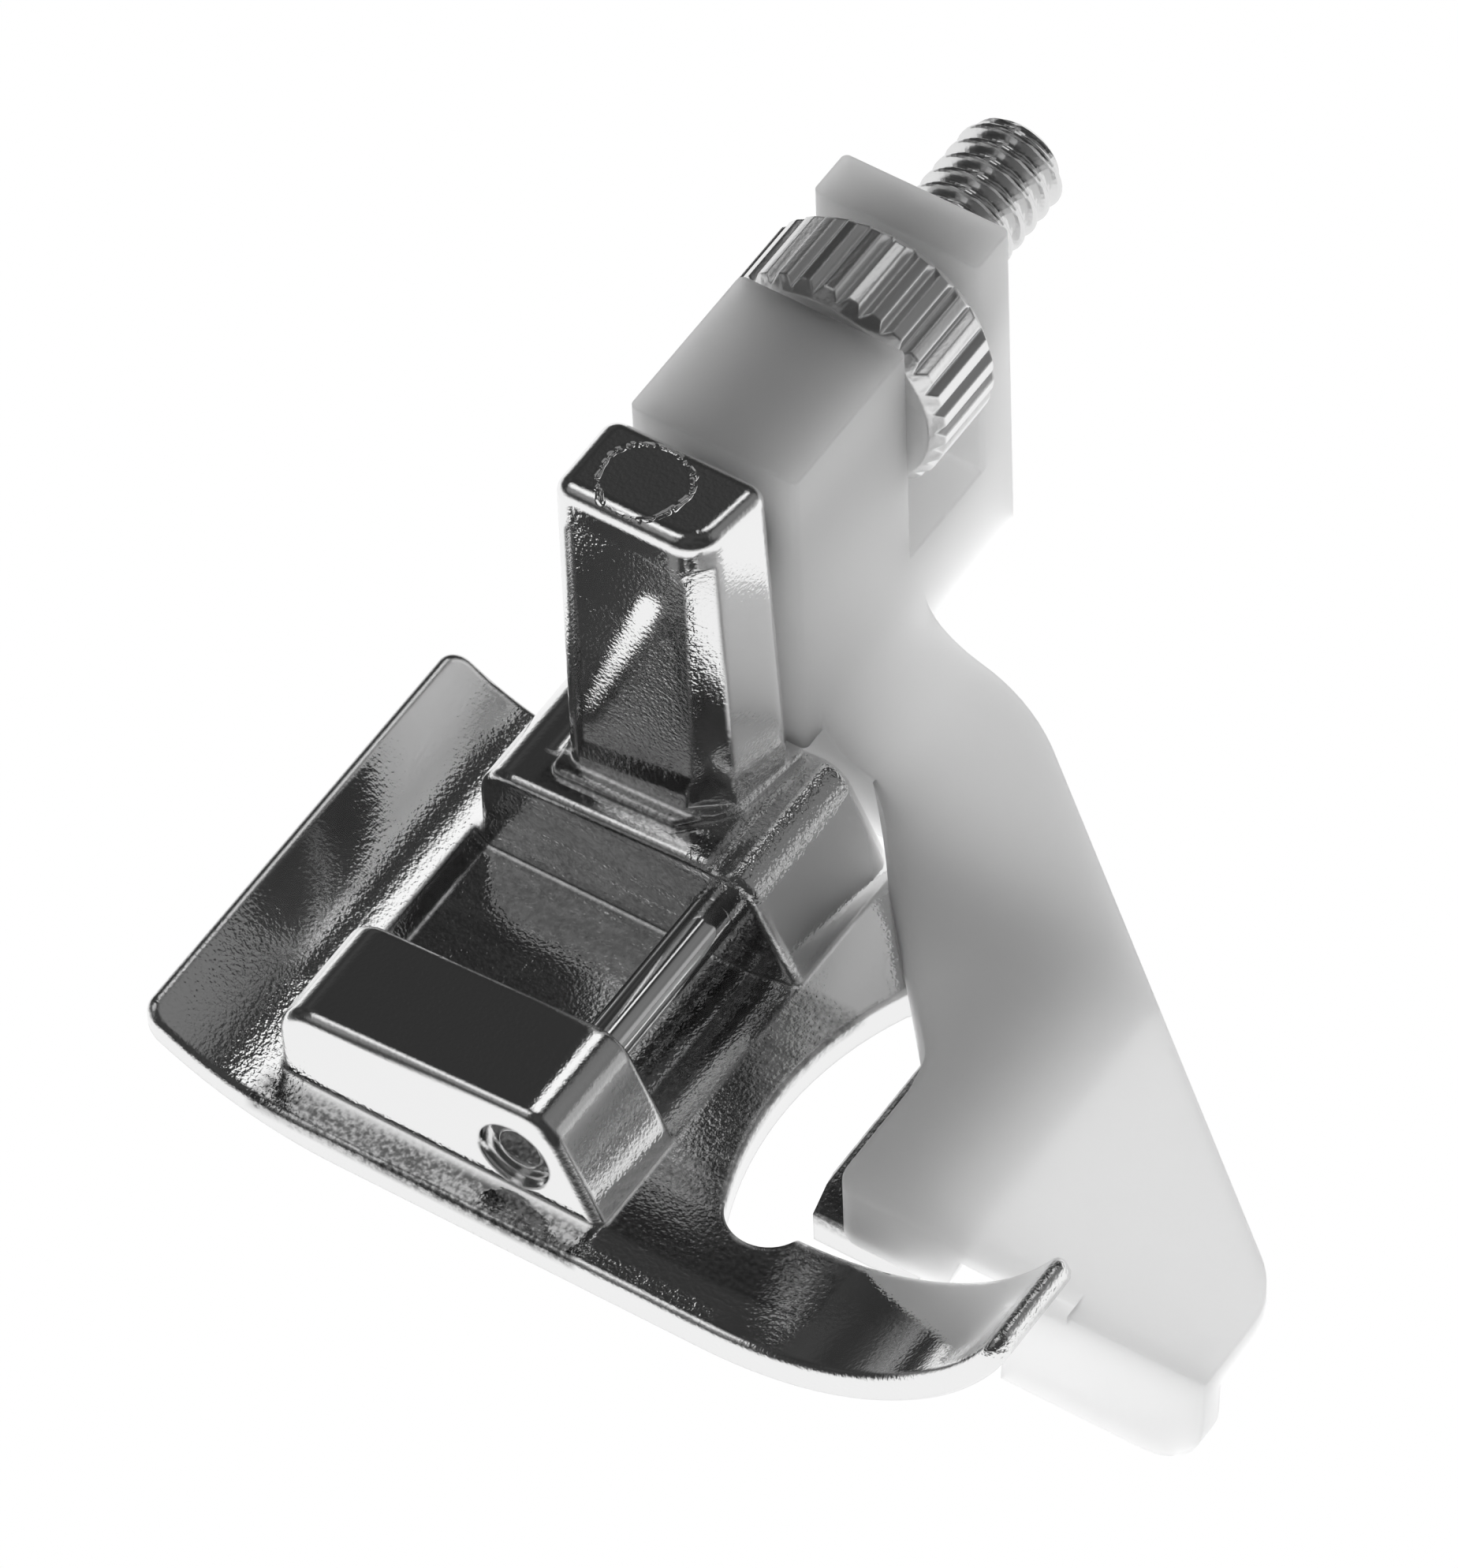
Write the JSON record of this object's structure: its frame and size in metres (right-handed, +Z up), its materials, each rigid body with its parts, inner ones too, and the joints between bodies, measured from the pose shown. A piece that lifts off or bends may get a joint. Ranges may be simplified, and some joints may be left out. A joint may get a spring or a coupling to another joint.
{
  "type": "adjustable blind hem presser foot",
  "caption": "Chromed clip-on presser foot for a sewing machine, with a nylon hem guide that a thumb wheel slides sideways along a screw.",
  "frame": {"origin": "on the sole's underside, straight below the middle of the cross pin between the cheeks", "axes": "+X to the operator's right along the pin and the adjusting screw, +Y to the machine's back, +Z up"},
  "size_m": [0.0399, 0.0405, 0.0209],
  "materials": {
    "chromed_casting": "bright chrome over a cast surface",
    "polished_steel": "polished",
    "plated_screw": "nickel plated",
    "plated_wheel": "nickel plated, fluted rim",
    "natural_nylon": "milky, slightly translucent"
  },
  "bodies": {
    "foot": {"foot_casting": "chromed_casting", "cross_pin": "polished_steel", "adjusting_screw": "plated_screw"},
    "guide": {"hem_guide": "natural_nylon"},
    "wheel": {"thumb_wheel": "plated_wheel"}
  },
  "joints": [
    {"name": "guide_slide", "type": "slide", "parent": "foot", "child": "guide", "axis": [1, 0, 0], "range_m": [0, 0.005]},
    {"name": "wheel_turn", "type": "hinge", "parent": "guide", "child": "wheel", "pos_m": [0.01895, 0.0035, 0.0162], "axis": [1, 0, 0], "range_deg": [0, 2250]}
  ],
  "couplings": [
    {"joint": "wheel_turn", "follows": "guide_slide", "rad_per_m": 7854}
  ]
}
